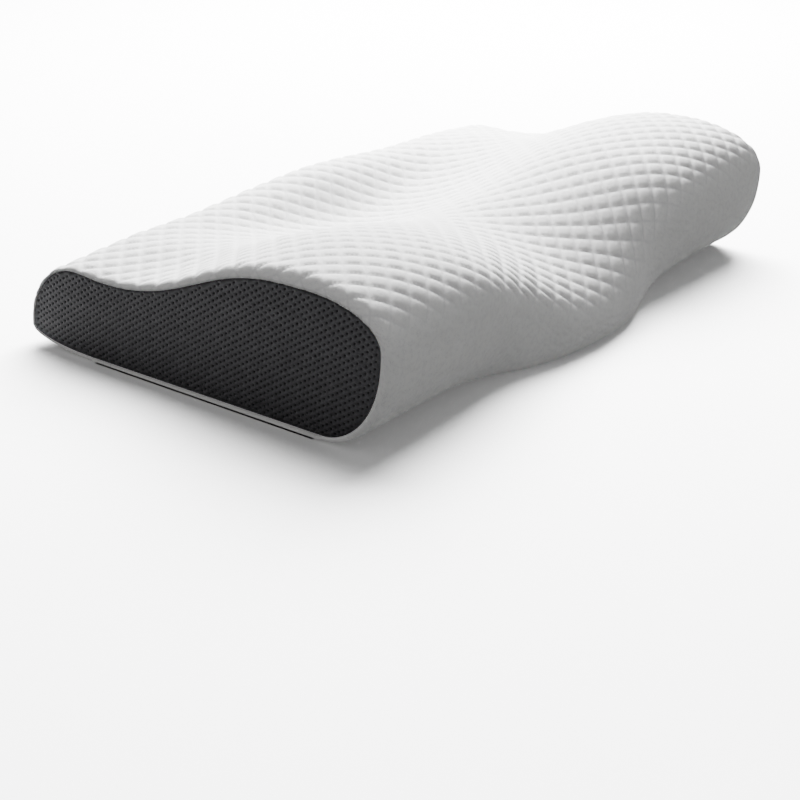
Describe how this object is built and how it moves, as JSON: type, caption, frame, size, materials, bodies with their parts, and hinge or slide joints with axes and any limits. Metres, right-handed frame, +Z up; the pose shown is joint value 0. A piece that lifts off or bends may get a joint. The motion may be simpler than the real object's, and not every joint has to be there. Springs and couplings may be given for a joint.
{
  "type": "cervical pillow",
  "caption": "Contour neck pillow in a diamond-quilted knit cover with dark net end panels, a raised neck side with a head hollow and a lower back lobe.",
  "frame": {"origin": "middle of the flat underside of the pillow's box", "axes": "+X along the pillow's length, -Y towards the high neck side, +Z up"},
  "size_m": [0.6, 0.3967, 0.1325],
  "materials": {
    "cover": "matte quilted knit",
    "net": "matte spacer net"
  },
  "bodies": {
    "root": {"pillow_body": "cover", "end_panel_left": "net", "end_panel_right": "net"}
  },
  "joints": []
}
